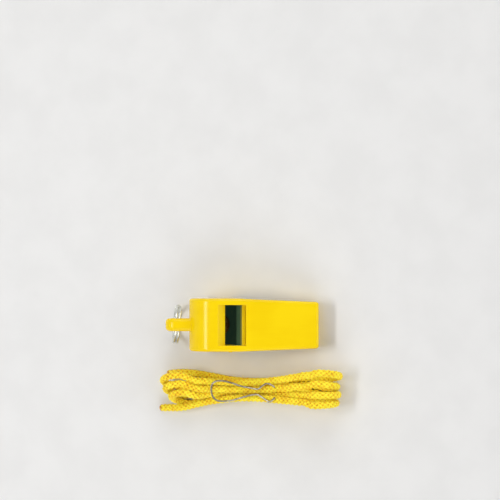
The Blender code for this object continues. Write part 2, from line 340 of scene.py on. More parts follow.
def lay_run(run, start, end):
    count = int(abs(end - start) / MM)
    return [on_run(run, start + (end - start) * i / count) for i in range(count + 1)]


def lay_fold(first, second, start, tip):
    """Half a turn from one run to the next, bulging out to the tip."""
    low, high = on_run(first, start), on_run(second, start)
    turn = []
    for i in range(13):
        angle = math.radians(-80 + 160 * i / 12)
        place = (low + high) / 2 + (high - low) / 2 * math.sin(angle)
        place.x = start + (tip - start) * math.cos(angle)
        turn.append(place)
    return turn


def lay_cord():
    """The whole plan. The first end is tucked in under the fold beside it."""
    points = []
    start = near_end_x
    for k, right in enumerate(right_tips):
        out, back = runs[2 * k], runs[2 * k + 1]
        points += lay_run(out, start, right - FOLD_R)
        points += lay_fold(out, back, right - FOLD_R, right)
        start = far_end_x if k == 3 else left_tips[k] + FOLD_R
        points += lay_run(back, right - FOLD_R, start)
        if k < 3:
            points += lay_fold(back, runs[2 * k + 2], start, left_tips[k])
    points = np.array(points)
    first = points[: int(TUCK_LENGTH / MM)]
    first[:, 1] -= TUCK * (1 - (first[:, 0] - near_end_x) / TUCK_LENGTH) ** 2
    return points


def even_spacing(points, spacing):
    """The same line with points an equal distance apart."""
    gone = np.concatenate([[0], np.cumsum(np.linalg.norm(np.diff(points, axis=0), axis=1))])
    count = max(1, round(gone[-1] / spacing))
    marks = np.linspace(0, gone[-1], count + 1)
    return np.array([np.interp(marks, gone, points[:, i]) for i in range(3)]).T, gone[-1] / count


planned, gap = even_spacing(lay_cord(), STEP)
print(f"plan: {len(planned)} points, {gap * (len(planned) - 1) / MM:.0f} mm of cord")


# %% [markdown]
# The relaxation is a loop over the points. Each pass pulls a little towards the plan, lets the cord sink,
# opens bends that are too tight, pushes apart points of different runs that are closer than a diameter, keeps
# every point inside the hank's outline and above the floor, and restores the spacing, so the length never
# changes.

# %% Relax the cord
BULGE, LEAST_ROOM, END_GAP = 0.9 * MM, 0.3 * MM, 0.6 * MM
HOLD, LEAST_HOLD, SINK, FLATTEN = 0.02, 0.25, 0.002 * MM, 0.12
NEIGHBOUR = 5


def push(points, first, second, wanted, share, closer=True):
    """Moves pairs of points apart that are closer than wanted, or, if not closer, to exactly that distance."""
    line = points[second] - points[first]
    length = np.linalg.norm(line, axis=1)
    hit = length < wanted if closer else np.ones(len(length), bool)
    first, second, line, length = first[hit], second[hit], line[hit], length[hit]
    shift = 0.5 * share * ((wanted - length) / np.maximum(length, 1e-9))[:, None] * line
    moved, count = np.zeros_like(points), np.zeros(len(points))
    for side, sign in ((first, -1), (second, 1)):
        np.add.at(moved, side, sign * shift)
        np.add.at(count, side, 1)
    points += moved / np.maximum(count, 1)[:, None]


def keep_inside(points):
    room = np.maximum(hank_half_width(points[:, 0]) - CORD / 2 + BULGE, LEAST_ROOM)
    points[:, 1] = HANK_Y + np.clip(points[:, 1] - HANK_Y, -room, room)
    reach = HALF_LENGTH - END_GAP
    points[:, 0] = np.clip(points[:, 0], HANK_X - reach, HANK_X + reach)
    points[:, 2] = np.clip(points[:, 2], CORD / 2, hank_height(points[:, 0]) - CORD / 2)


def relax(plan, spacing, passes=500):
    points = plan.copy()
    order = np.arange(len(points))
    neighbours = np.triu_indices(len(points), NEIGHBOUR)
    for turn in range(passes):
        hold = HOLD * max(LEAST_HOLD, 1 - turn / (0.8 * passes))
        points += hold * (plan - points)
        points[:, 2] -= SINK
        for reach in (3, 4, 5):
            chord = 2 * LEAST_BEND * math.sin(reach * spacing / (2 * LEAST_BEND))
            push(points, order[:-reach], order[reach:], chord, 0.6)
        push(points, *neighbours, LEAST_APART, 0.9)
        keep_inside(points)
        for _ in range(3):
            for start in (0, 1):
                push(points, order[start:-1:2], order[start + 1 :: 2], spacing, 1.0, closer=False)
        points[1:-1] += FLATTEN * ((points[:-2] + points[2:]) / 2 - points[1:-1])
    return points


def tightest_bend(points):
    """The least radius of a circle through three points two diameters apart along the line."""
    marks, _ = even_spacing(points, 2 * CORD)
    a, b, c = marks[:-2], marks[1:-1], marks[2:]
    sides = [np.linalg.norm(side, axis=1) for side in (b - a, c - b, c - a)]
    area = np.linalg.norm(np.cross(b - a, c - a), axis=1)
    return (sides[0] * sides[1] * sides[2] / np.maximum(2 * area, 1e-12)).min()


route = relax(planned, gap)
first, second = np.triu_indices(len(route), NEIGHBOUR)
closest = np.linalg.norm(route[second] - route[first], axis=1).min()
print(f"tightest bend {tightest_bend(route) / MM:.1f} mm, closest runs {closest / MM:.2f} mm apart")

# %% [markdown]
# The relaxed points are two millimetres apart. A smooth curve through them hides the corners.

# %% Smooth centreline
def through(points, steps):
    """A Catmull-Rom curve through points."""
    ends = np.vstack([2 * points[0] - points[1], points, 2 * points[-1] - points[-2]])
    a, b, c, d = ends[:-3], ends[1:-2], ends[2:-1], ends[3:]
    shares = np.arange(steps)[None, :, None] / steps
    a, b, c, d = (part[:, None, :] for part in (a, b, c, d))
    curve = 2 * b + (c - a) * shares + (
        2 * a - 5 * b + 4 * c - d
    ) * shares**2 + (3 * b - a - 3 * c + d) * shares**3
    return np.vstack([0.5 * curve.reshape(-1, 3), points[-1:]])


centreline = through(route, 4)

# %% [markdown]
# ## The braid
# Eight strands make the cord: four wind one way and four the other, and each passes over and under the ones
# it meets. That is a rule, so Geometry Nodes draw it. The centreline is copied once for every strand, each
# copy is pushed out to its place on a helix, and the distance swells and shrinks like a wave, in step for all
# strands, which is just what makes them weave. Loose fibres are scattered on the result with a fixed seed.
#
# Each point keeps three things for the material: how far along its strand it is, where it is round the
# strand, and its crown, which is 0 deep between strands and 1 on top of them.

# %% Geometry Nodes helpers
def new_group(name, sizes):
    """A geometry node group with named inputs: sizes are (name, socket kind, value)."""
    group = bpy.data.node_groups.new(name, "GeometryNodeTree")
    group.interface.new_socket("Geometry", in_out="INPUT", socket_type="NodeSocketGeometry")
    for label, kind, value in sizes:
        made = group.interface.new_socket(label, in_out="INPUT", socket_type=f"NodeSocket{kind}")
        if value is not None:
            made.default_value = value
    group.interface.new_socket("Geometry", in_out="OUTPUT", socket_type="NodeSocketGeometry")
    inside, outside = group.nodes.new("NodeGroupInput"), group.nodes.new("NodeGroupOutput")
    return group, inside.outputs, outside.inputs["Geometry"]


def vector_calc(tree, operation, *values):
    made = put(tree, "ShaderNodeVectorMath", operation=operation)
    for place, value in enumerate(values):
        feed(made, "Scale" if operation == "SCALE" and place == 1 else place, value)
    return made.outputs["Value" if operation in ("LENGTH", "DISTANCE", "DOT_PRODUCT") else "Vector"]


def keep(tree, geometry, label, value, kind="FLOAT", domain="POINT"):
    """Stores a named attribute for a material to read."""
    inputs = {"Geometry": geometry, "Name": label, "Value": value}
    return got(tree, "GeometryNodeStoreNamedAttribute", inputs, data_type=kind, domain=domain)


def named(tree, label, kind="FLOAT"):
    return put(tree, "GeometryNodeInputNamedAttribute", {"Name": label}, data_type=kind).outputs["Attribute"]


def read(tree, label, output="Fac"):
    """The same attribute, read by a material."""
    return put(tree, "ShaderNodeAttribute", attribute_name=label).outputs[output]


def here(tree):
    return got(tree, "GeometryNodeInputPosition")


def circle(tree, sides, radius):
    inputs = {"Resolution": sides, "Radius": radius}
    return got(tree, "GeometryNodeCurvePrimitiveCircle", inputs)


def swept(tree, line, profile):
    """A profile swept along a line, with closed ends."""
    inputs = {"Curve": line, "Profile Curve": profile, "Fill Caps": True}
    return got(tree, "GeometryNodeCurveToMesh", inputs)


def on_wire(tree):
    """How far along the wire a point is, in millimetres, and where it is round the wire."""
    return got(tree, "ShaderNodeCombineXYZ", {
        "X": times(tree, named(tree, "along"), 1 / MM),
        "Y": calc(tree, "COSINE", named(tree, "round")),
        "Z": calc(tree, "SINE", named(tree, "round")),
    })


def realized(tree, geometry):
    return got(tree, "GeometryNodeRealizeInstances", {"Geometry": geometry})


def hand_over(tree, geometry, given, result):
    """Gives the shape its finish and sends it out of the group."""
    inputs = {"Geometry": geometry, "Material": given["Finish"]}
    tree.links.new(got(tree, "GeometryNodeSetMaterial", inputs), result)


def line_object(name, points):
    """A mesh that is only a line of points, for a node group to follow."""
    mesh = bpy.data.meshes.new(name)
    mesh.from_pydata([tuple(p) for p in points], [(i, i + 1) for i in range(len(points) - 1)], [])
    return link(name, mesh)


def grown(made, group, **values):
    """Runs a node group on an object and leaves the result as its plain mesh."""
    step = made.modifiers.new(group.name, "NODES")
    step.node_group = group
    for item in group.interface.items_tree:
        if item.in_out == "INPUT" and item.name.replace(" ", "_").lower() in values:
            step[item.identifier] = values[item.name.replace(" ", "_").lower()]
    view = bpy.context.evaluated_depsgraph_get()
    mesh = bpy.data.meshes.new_from_object(made.evaluated_get(view))
    made.modifiers.clear()
    made.data = mesh
    mesh.name = made.name
    print(f"{made.name}: {sum(len(face.vertices) - 2 for face in mesh.polygons)} triangles")
    return made


# %% Braid by Geometry Nodes
def braid_group():
    sizes = [
        ("Strands each way", "Int", 4),
        ("Pitch", "Float", 7.4 * MM),
        ("Core", "Float", 0.72 * MM),
        ("Lift", "Float", 0.28 * MM),
        ("Strand", "Float", 0.58 * MM),
        ("Uneven", "Float", 0.30 * MM),
        ("Loose fibres", "Int", 700),
        ("Seed", "Int", 4),
        ("Finish", "Material", None),
    ]
    tree, given, result = new_group("braided cord", sizes)
    each = given["Strands each way"]
    line = got(tree, "GeometryNodeMeshToCurve", {"Mesh": given["Geometry"]})
    step = calc(tree, "DIVIDE", given["Pitch"], 20.0)
    line = got(tree, "GeometryNodeResampleCurve", {"Curve": line, "Length": step}, mode="LENGTH")
    many = times(tree, each, 2.0)
    copies = put(tree, "GeometryNodeDuplicateElements", {"Geometry": line, "Amount": many}, domain="SPLINE")
    number = copies.outputs["Duplicate Index"]
    back = calc(tree, "FLOOR", calc(tree, "DIVIDE", number, each))
    way = minus(tree, 1.0, times(tree, back, 2.0))
    along = put(tree, "GeometryNodeSplineParameter").outputs["Length"]
    turns = calc(tree, "DIVIDE", along, given["Pitch"])
    start = calc(tree, "DIVIDE", plus(tree, number, times(tree, back, 0.5)), each)
    angle = times(tree, plus(tree, times(tree, turns, way), start), math.tau)
    beats = times(tree, times(tree, turns, each), math.tau)
    wave = times(tree, times(tree, calc(tree, "SINE", beats), way), given["Lift"])
    cloud = got(tree, "ShaderNodeTexNoise", {"W": number, "Scale": 330.0, "Detail": 1.0}, noise_dimensions="4D")
    loose = times(tree, minus(tree, cloud, 0.5), given["Uneven"])
    reach = plus(tree, plus(tree, given["Core"], wave), loose)
    side = put(tree, "GeometryNodeInputNormal").outputs["Normal"]
    ahead = put(tree, "GeometryNodeInputTangent").outputs["Tangent"]
    up = vector_calc(tree, "CROSS_PRODUCT", ahead, side)
    out_side = vector_calc(tree, "SCALE", side, times(tree, reach, calc(tree, "COSINE", angle)))
    out_up = vector_calc(tree, "SCALE", up, times(tree, reach, calc(tree, "SINE", angle)))
    strands = keep(tree, copies.outputs["Geometry"], "centre", here(tree), "FLOAT_VECTOR")
    strands = keep(tree, strands, "along", plus(tree, along, times(tree, number, 1.7)))
    offset = vector_calc(tree, "ADD", out_side, out_up)
    strands = got(tree, "GeometryNodeSetPosition", {"Geometry": strands, "Offset": offset})
    ring = circle(tree, 6, given["Strand"])
    turn = times(tree, got(tree, "GeometryNodeInputIndex"), math.tau / 6)
    ring = keep(tree, ring, "round", turn)
    tubes = swept(tree, strands, ring)
    place = here(tree)
    outwards = vector_calc(tree, "SUBTRACT", place, named(tree, "centre", "FLOAT_VECTOR"))
    depth = vector_calc(tree, "LENGTH", outwards)
    crown = calc(tree, "DIVIDE", depth, plus(tree, plus(tree, given["Core"], given["Lift"]), given["Strand"]))
    tubes = keep(tree, tubes, "crown", crown)
    tubes = keep(tree, tubes, "fibre", on_wire(tree), "FLOAT_VECTOR")
    tubes = got(tree, "GeometryNodeSetShadeSmooth", {"Geometry": tubes})
    hair = loose_fibres(tree, tubes, given)
    both = put(tree, "GeometryNodeJoinGeometry")
    for part in (hair, tubes):
        tree.links.new(part, both.inputs[0])
    real = realized(tree, both.outputs[0])
    above = vector_calc(tree, "MAXIMUM", here(tree), (-1.0, -1.0, FLOOR_GAP))
    real = got(tree, "GeometryNodeSetPosition", {"Geometry": real, "Position": above})
    hand_over(tree, real, given, result)
    return tree


STRAND_AREA = 0.013


def loose_fibres(tree, tubes, given):
    """Fine bent hairs standing out of the strands."""
    amount = calc(tree, "DIVIDE", given["Loose fibres"], STRAND_AREA)
    spots = put(
        tree, "GeometryNodeDistributePointsOnFaces", {"Mesh": tubes, "Density": amount, "Seed": given["Seed"]}
    )
    bend = got(tree, "GeometryNodeCurvePrimitiveBezierSegment", {
        "Resolution": 3,
        "Start": (0.0, 0.0, -0.1 * MM),
        "Start Handle": (0.0, 0.0, 0.3 * MM),
        "End Handle": (0.35 * MM, 0.0, 0.6 * MM),
        "End": (0.9 * MM, 0.1 * MM, 0.5 * MM),
    })
    thin = circle(tree, 3, 0.035 * MM)
    hair = swept(tree, bend, thin)
    spin = put(
        tree,
        "FunctionNodeRandomValue",
        {"Min": (0, 0, 0), "Max": (0.5, 0.5, math.tau), "Seed": 7},
        data_type="FLOAT_VECTOR",
    )
    facing = put(
        tree,
        "FunctionNodeRotateRotation",
        {"Rotation": spots.outputs["Rotation"], "Rotate By": spin.outputs[0]},
        rotation_space="LOCAL",
    )
    size = put(tree, "FunctionNodeRandomValue", {2: 0.5, 3: 1.3, "Seed": 9}, data_type="FLOAT")
    stood = got(tree, "GeometryNodeInstanceOnPoints", {
        "Points": spots.outputs["Points"],
        "Instance": hair,
        "Rotation": facing.outputs[0],
        "Scale": size.outputs[1],
    })
    return keep(tree, realized(tree, stood), "crown", 1.0)


# %% [markdown]
# ### Finish of the cord
# The fibre is a bright yellow. Where strands dip under each other it is painted a darker orange: painted
# shade in the crevices, where light that goes in is coloured twice on its way out. The crown attribute drives
# that change. Fine streaks run along every strand: they are noise read from the strand's own length and
# roundness, so they bend with the cord.

# %% Cord material
cord_finish, tree, shader = paint("braided yellow cord")
fibre = read(tree, "fibre", "Vector")
streak_place = got(tree, "ShaderNodeMapping", {"Vector": fibre, "Scale": (0.5, 2.6, 2.6)})
streaks = clouds(tree, streak_place, 2.2, 4.0)
patches_place = put(tree, "ShaderNodeTexCoord").outputs["Object"]
patches = clouds(tree, patches_place, 260.0, 3.0)
depth = plus(tree, read(tree, "crown"), times(tree, minus(tree, streaks, 0.5), 0.16))
depth = plus(tree, depth, times(tree, minus(tree, patches, 0.5), 0.55))
# The two darker colours are painted shade between the strands; the last is the fibre's own yellow.
DEEP_SHADE, HALF_SHADE, TOP = (0.56, 0.22, 0.004), (0.93, 0.58, 0.012), (1.0, 0.86, 0.04)
feed(shader, "Base Color", ramp(tree, depth, [(0.52, DEEP_SHADE), (0.74, HALF_SHADE), (0.93, TOP)], False))
feed(shader, "Roughness", 0.62)
feed(shader, "Sheen Weight", 0.15)
feed(shader, "Sheen Roughness", 0.4)
feed(shader, "Specular IOR Level", 0.25)
emboss(tree, shader, streaks, 0.6, 0.06 * MM)

# %% Make the cord
cord = line_object("lanyard_cord", centreline)
grown(cord, braid_group(), finish=cord_finish)
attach(cord, "lanyard")
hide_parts("lanyard_hank")

# %% [markdown]
# A cord of this kind is cut with a hot knife, which melts its end into a short glossy bead. Each bead is a
# small ball, stretched a little along the cord and made uneven with noise.

# %% Sealed ends
bead_finish, tree, shader = paint("melted cord end")
spot = put(tree, "ShaderNodeTexCoord").outputs["Object"]
cloud = clouds(tree, spot, 1500.0, 3.0)
feed(shader, "Base Color", ramp(tree, cloud, [(0.35, (0.45, 0.17, 0.01)), (0.65, (0.80, 0.47, 0.02))]))
feed(shader, "Roughness", got(tree, "ShaderNodeMapRange", {"Value": cloud, 3: 0.25, 4: 0.5}))
emboss(tree, shader, cloud, 0.5, 0.1 * MM)


def finished(shape, name, finish, body, slot, *nodes):
    """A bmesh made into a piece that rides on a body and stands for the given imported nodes."""
    made = solid(name, shape)
    made.data.materials.append(finish)
    made.data.shade_smooth()
    register(made, body, slot, *nodes)
    return made


def register(made, body, slot, *nodes):
    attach(made, body)
    if nodes:
        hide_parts(*nodes)


BEAD_R, BEAD_LENGTH = 1.42 * MM, 0.62


def bead(name, end, before):
    shape = bmesh.new()
    bmesh.ops.create_icosphere(shape, subdivisions=4, radius=BEAD_R)
    along = Vector(end - before).normalized()
    turn = along.to_track_quat("X", "Z").to_matrix()
    for point in shape.verts:
        bumpy = 1 + 0.10 * noise.noise(point.co * 900 + Vector((len(name), 0, 0)))
        squashed = Vector((point.co.x * BEAD_LENGTH, point.co.y, point.co.z)) * bumpy
        point.co = Vector(end) + turn @ squashed
        point.co.z = max(point.co.z, FLOOR_GAP)
    return finished(shape, name, bead_finish, "lanyard", "braided_cord")


beads = [
    bead("cord_bead_near", centreline[0], centreline[3]),
    bead("cord_bead_far", centreline[-1], centreline[-4]),
]

# %% [markdown]
# ## The whistle's body
# The real body is one moulding: a round chamber, a flat roof that runs on as a tapered mouthpiece, a window
# with a sharp lip over the chamber, an air way from the mouth to the window, and a lug with a hole at the
# back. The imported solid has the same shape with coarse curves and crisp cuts. This one is drawn again with
# fine curves, rounder outer edges, and a small radius on every cut edge, because those radii catch the light
# and tell the eye that it is plastic.
#
# It is carved in the order in which one would carve a block: outline, rounded edges, taper, and then the
# hollows. All of it is drawn in the whistle's own frame and tipped at the end.

# %% Whistle sizes
HALF_WIDTH, TIP_HALF_WIDTH, CHEEK = 10.3 * MM, 9.0 * MM, 2.4 * MM
CHAMBER_IN = CHAMBER_R - 1.7 * MM
TIP_X, TIP_HEIGHT, TAPER_X = 40.2 * MM, 9.4 * MM, 9.0 * MM
UNDERSIDE_SLOPE, THROAT_FILLET = math.radians(4.3), 4.0 * MM
EDGE, LUG_EDGE, CUT_EDGE = 1.1 * MM, 1.5 * MM, 0.14 * MM
LIP_X, LIP_Z, RAMP_X = 3.8 * MM, 8.0 * MM, 1.1 * MM
ROOF_EDGE_X, SILL_X, SILL_Z = 11.9 * MM, 10.5 * MM, 6.9 * MM
WINDWAY_HALF_WIDTH, MOUTH_HALF_WIDTH = 7.4 * MM, 6.6 * MM
MOUTH_FLOOR_Z, WINDWAY_TOP_Z = 4.1 * MM, 8.6 * MM
REBATE_R, REBATE_DEPTH, CAP_HOLE_R = 8.9 * MM, 1.0 * MM, 7.9 * MM
LUG_R, LUG_HALF_THICK, LUG_HOLE_R, LUG_ROOT_X = 4.0 * MM, 2.5 * MM, 2.1 * MM, -5.0 * MM
BEYOND = HALF_WIDTH + 1.0 * MM


# %% Drawing helpers
def arc(centre, radius, start, end, step=3.0):
    count = max(1, math.ceil(abs(end - start) / math.radians(step)))
    turns = [start + (end - start) * i / count for i in range(count + 1)]
    return [(centre[0] + radius * math.cos(a), centre[1] + radius * math.sin(a)) for a in turns]


def slab(name, outline, low, high):
    """An outline of (x, z) points made solid from y = low to y = high."""
    shape = bmesh.new()
    face = shape.faces.new([shape.verts.new((x, low, z)) for x, z in outline])
    far_side = bmesh.ops.extrude_face_region(shape, geom=[face])["geom"]
    moved = [part for part in far_side if isinstance(part, bmesh.types.BMVert)]
    bmesh.ops.translate(shape, verts=moved, vec=(0, high - low, 0))
    bmesh.ops.recalc_face_normals(shape, faces=shape.faces)
    return solid(name, shape)


def rod(name, centre, radius, low, high):
    return slab(name, arc(centre, radius, 0, math.tau)[:-1], low, high)


def settle(made):
    """Makes an object's modifiers part of its mesh."""
    view = bpy.context.evaluated_depsgraph_get()
    mesh = bpy.data.meshes.new_from_object(made.evaluated_get(view))
    made.modifiers.clear()
    made.data = mesh
    return made


def carve(made, tool, operation="DIFFERENCE"):
    step = made.modifiers.new(operation.lower(), "BOOLEAN")
    step.operation = operation
    step.object = tool
    settle(made)
    bpy.data.objects.remove(tool, do_unlink=True)


def round_edges(made, width, segments, angle=40.0):
    step = made.modifiers.new("rounded edges", "BEVEL")
    step.width = width
    step.segments = segments
    step.limit_method = "ANGLE"
    step.angle_limit = math.radians(angle)
    step.use_clamp_overlap = False
    settle(made)


def narrow(made):
    """Tapers the mouthpiece: from the fold at TAPER_X on, its width shrinks evenly to the tip's."""
    shape = bmesh.new()
    shape.from_mesh(made.data)
    parts = [*shape.verts, *shape.edges, *shape.faces]
    bmesh.ops.bisect_plane(shape, geom=parts, dist=1e-7, plane_co=(TAPER_X, 0, 0), plane_no=(1, 0, 0))
    for point in shape.verts:
        share = max(0.0, (point.co.x - TAPER_X) / (TIP_X - TAPER_X))
        point.co.y *= 1 - share * (1 - TIP_HALF_WIDTH / HALF_WIDTH)
    shape.to_mesh(made.data)
    shape.free()


# %% Outlines
def side_outline():
    """Flat roof, round chamber, throat fillet and sloping underside."""
    bottom = Vector((TIP_X, CHAMBER_R - TIP_HEIGHT))
    back = Vector((-math.cos(UNDERSIDE_SLOPE), -math.sin(UNDERSIDE_SLOPE)))
    down = Vector((math.sin(UNDERSIDE_SLOPE), -math.cos(UNDERSIDE_SLOPE)))
    start = bottom + THROAT_FILLET * down
    reach = CHAMBER_R + THROAT_FILLET
    along = -start.dot(back) - math.sqrt(start.dot(back) ** 2 - start.length_squared + reach**2)
    hub = start + along * back
    chamber_end = math.atan2(hub.y, hub.x) + math.tau
    round_wall = arc((0, 0), CHAMBER_R, math.pi / 2, chamber_end)
    fillet = arc(hub, THROAT_FILLET, math.atan2(-hub.y, -hub.x), math.atan2(-down.y, -down.x))
    return [(TIP_X, CHAMBER_R), *round_wall, *fillet[1:], tuple(bottom)]


def air_outline():
    """The chamber with its window above and the pocket under the sill."""
    above = CHAMBER_R + 1.0 * MM
    ramp_slope = (LIP_X - RAMP_X) / (CHAMBER_R - LIP_Z)
    round_hollow = arc((0, 0), CHAMBER_IN, math.acos(LIP_X / CHAMBER_IN), math.tau + math.radians(20))
    corners = [(SILL_X, SILL_Z), (ROOF_EDGE_X, SILL_Z), (ROOF_EDGE_X, above)]
    return [(RAMP_X - (above - CHAMBER_R) * ramp_slope, above), (LIP_X, LIP_Z), *round_hollow, *corners]


def lug_outline():
    round_end = arc((LUG_X, LUG_Z), LUG_R, math.pi / 2, 3 * math.pi / 2)
    return [*round_end, (LUG_ROOT_X, LUG_Z - LUG_R), (LUG_ROOT_X, LUG_Z + LUG_R)]


def windway():
    """A wedge of air: low and wide at the window, taller and narrower at the mouth."""
    near, far = ROOF_EDGE_X - 0.2 * MM, TIP_X + 1.0 * MM
    cut = slab(
        "windway cut",
        [(near, SILL_Z - 0.05 * MM), (far, MOUTH_FLOOR_Z), (far, WINDWAY_TOP_Z), (near, WINDWAY_TOP_Z)],
        -1,
        1,
    )
    for corner in cut.data.vertices:
        corner.co.y *= MOUTH_HALF_WIDTH if corner.co.x > near + 1.0 * MM else WINDWAY_HALF_WIDTH
    return cut


# %% Carve the body
body = slab("whistle_shell", side_outline(), -HALF_WIDTH, HALF_WIDTH)
round_edges(body, EDGE, 6)
narrow(body)
inside = HALF_WIDTH - CHEEK
carve(body, slab("air", air_outline(), -inside, inside))
carve(body, rod("cap hole", (0, 0), CAP_HOLE_R, -BEYOND, -inside + 0.3 * MM))
carve(body, rod("rebate", (0, 0), REBATE_R, -BEYOND, REBATE_DEPTH - HALF_WIDTH))
carve(body, windway())
print(f"body carved: {len(body.data.polygons)} faces")

# %% [markdown]
# A moulding shows a few small traces of its tool: a shallow line along each side of the mouthpiece's roof,
# and the round scar where the plastic ran in, on the near side. After that, tiny slivers left by the carving
# are dissolved and every edge that is still crisp gets its small radius. The lug is rounded and bored by
# itself and joined last, with its root cut to end inside the chamber's wall.

# %% Finish the body's shape
GATE = (5.9 * MM, 8.1 * MM)
GATE_R, GATE_HIGH = 0.7 * MM, 0.2 * MM
SLIVER = 0.01 * MM
carve(body, rod("gate scar", GATE, GATE_R, -HALF_WIDTH - GATE_HIGH, -HALF_WIDTH + CUT_EDGE), "UNION")
shape = bmesh.new()
shape.from_mesh(body.data)
bmesh.ops.remove_doubles(shape, verts=shape.verts, dist=SLIVER)
bmesh.ops.dissolve_degenerate(shape, dist=SLIVER, edges=shape.edges)
shape.to_mesh(body.data)
shape.free()
round_edges(body, CUT_EDGE, 2)
lug = slab("lug", lug_outline(), -LUG_HALF_THICK, LUG_HALF_THICK)
round_edges(lug, LUG_EDGE, 6)
carve(lug, rod("root cut", (0, 0), (CHAMBER_R + CHAMBER_IN) / 2, -BEYOND, BEYOND))
carve(lug, rod("lug hole", (LUG_X, LUG_Z), LUG_HOLE_R, -BEYOND, BEYOND))
round_edges(lug, CUT_EDGE, 2)
carve(body, lug, "UNION")
print(f"body finished: {len(body.data.polygons)} faces")

# %% [markdown]
# ## Yellow plastic
# Moulded plastic is one colour, yet never the same everywhere: it is a little deeper where the wall is thick,
# its gloss wanders, and faint flow marks run from the gate towards the mouth. The whistle's own coordinates
# are kept on every point, so the material knows what is along and what is across the piece.

# %% Plastic
def moulded(name, colours, gloss, lines=True):
    """Plastic with a wandering shade and gloss, faint flow marks and a fine grain."""
    made, tree, shader = paint(name)
    own = read(tree, "own place", "Vector")
    flow_place = got(tree, "ShaderNodeMapping", {"Vector": own, "Scale": (0.12, 1.0, 1.0)})
    cloud = clouds(tree, own, 70.0, 3.0)
    flow = clouds(tree, flow_place, 420.0, 4.0)
    grain = clouds(tree, own, 5200.0, 2.0)
    shade = plus(tree, times(tree, cloud, 0.7), times(tree, flow, 0.3))
    feed(shader, "Base Color", ramp(tree, shade, [(0.3, colours[0]), (0.7, colours[1])]))
    wander = plus(tree, times(tree, cloud, 0.5), times(tree, grain, 0.5))
    spread_out = put(tree, "ShaderNodeMapRange", {"Value": wander, 1: 0.3, 2: 0.7, 3: gloss[0], 4: gloss[1]})
    feed(shader, "Roughness", spread_out.outputs[0])
    high = plus(tree, times(tree, flow, 0.6), times(tree, grain, 0.12))
    high = minus(tree, high, times(tree, roof_lines(tree, own), 2.5)) if lines else high
    emboss(tree, shader, high, 0.35, 0.02 * MM)
    feed(shader, "Specular IOR Level", 0.2)
    return made


LINE_X, LINE_Y, LINE_SLOPE, LINE_WIDTH = 12.0 * MM, 7.1 * MM, 0.026, 0.16 * MM


def roof_lines(tree, own):
    """1 on the shallow line along each side of the mouthpiece's roof, 0 elsewhere."""
    place = put(tree, "ShaderNodeSeparateXYZ", {"Vector": own})
    inward = times(tree, minus(tree, place.outputs["X"], LINE_X), LINE_SLOPE)
    wanted = minus(tree, LINE_Y, inward)
    off = calc(tree, "ABSOLUTE", minus(tree, calc(tree, "ABSOLUTE", place.outputs["Y"]), wanted))
    line = got(tree, "ShaderNodeMapRange", {"Value": off, 1: 0.0, 2: LINE_WIDTH, 3: 1.0, 4: 0.0})
    on_roof = calc(tree, "GREATER_THAN", place.outputs["Z"], CHAMBER_R - 0.3 * MM)
    past_window = calc(tree, "GREATER_THAN", place.outputs["X"], ROOF_EDGE_X)
    return times(tree, line, times(tree, on_roof, past_window))


yellow = moulded("yellow plastic", ((0.88, 0.60, 0.001), (0.92, 0.66, 0.003)), (0.14, 0.26))
# The inside of the chamber gets a second material that is painted shade: a dark olive green, with the body's
# yellow coming back towards the roof, as painted light that falls in through the window.
painted_shade_plastic = moulded("plastic inside with painted shade", ((0.045, 0.085, 0.040), (0.065, 0.115, 0.055)), (0.45, 0.6), False)
tree, shader = painted_shade_plastic.node_tree, painted_shade_plastic.node_tree.nodes["Principled BSDF"]
painted_dark = shader.inputs["Base Color"].links[0].from_socket
height = put(tree, "ShaderNodeSeparateXYZ", {"Vector": read(tree, "own place", "Vector")}).outputs["Z"]
shade_fades_near_roof = got(tree, "ShaderNodeMapRange", {"Value": height, 1: 5.5 * MM, 2: 8.5 * MM})
blend = {0: shade_fades_near_roof, 6: painted_dark, 7: (0.88, 0.62, 0.003, 1.0)}
feed(shader, "Base Color", put(tree, "ShaderNodeMix", blend, data_type="RGBA").outputs[2])
# A faint green glow on the inside is painted light that keeps it from going black.
feed(shader, "Emission Color", (0.45, 1.0, 0.65, 1.0))
feed(shader, "Emission Strength", 0.014)


def keep_place(made):
    """Keeps the whistle's own coordinates on the points, then tips the piece to where it lies."""
    places = np.empty(3 * len(made.data.vertices), np.float32)
    made.data.vertices.foreach_get("co", places)
    made.data.attributes.new("own place", "FLOAT_VECTOR", "POINT").data.foreach_set("vector", places)
    made.data.transform(WHISTLE)


def soften(made, angle=50.0):
    """Smooth shading that keeps large flat faces flat, with creases only at sharp corners."""
    made.data.shade_smooth()
    made.data.set_sharp_from_angle(angle=math.radians(angle))
    step = made.modifiers.new("flat faces", "WEIGHTED_NORMAL")
    step.keep_sharp = True
    settle(made)


# %% Dress the body
soften(body)
body.data.materials.clear()
body.data.materials.append(yellow)
body.data.materials.append(painted_shade_plastic)
# Faces in the chamber's hollow and under the sill take the second material: painted shade.
for face in body.data.polygons:
    middle = face.center
    under_sill = middle.x > 0 and middle.z < SILL_Z - 0.3 * MM
    hollow = math.hypot(middle.x, middle.z) < CHAMBER_IN + 0.15 * MM or under_sill
    within = abs(middle.y) < inside + 0.05 * MM
    face.material_index = int(hollow and within and middle.x < ROOF_EDGE_X + 0.3 * MM and middle.z < LIP_Z)
print("faces in the dark:", sum(face.material_index for face in body.data.polygons))
keep_place(body)
register(body, "whistle", "yellow_plastic", "whistle_body")

# %% [markdown]
# ## The cap
# The chamber is closed on one side by a cap that is pressed in after the pea: a disc with a shoulder, turned
# here from its profile. The fine gap round it and its rounded rim are what shows.

# %% Cap
FACE_Y, STEP_Y, INNER_Y = -HALF_WIDTH, -9.6 * MM, -7.9 * MM
FLANGE_R, SPIGOT_R, ROUND_OFF = REBATE_R - 0.3 * MM, 7.6 * MM, 0.25 * MM
DISH_Y, DISH_R, DISH_RIM_R = FACE_Y + 0.12 * MM, 6.6 * MM, 6.9 * MM


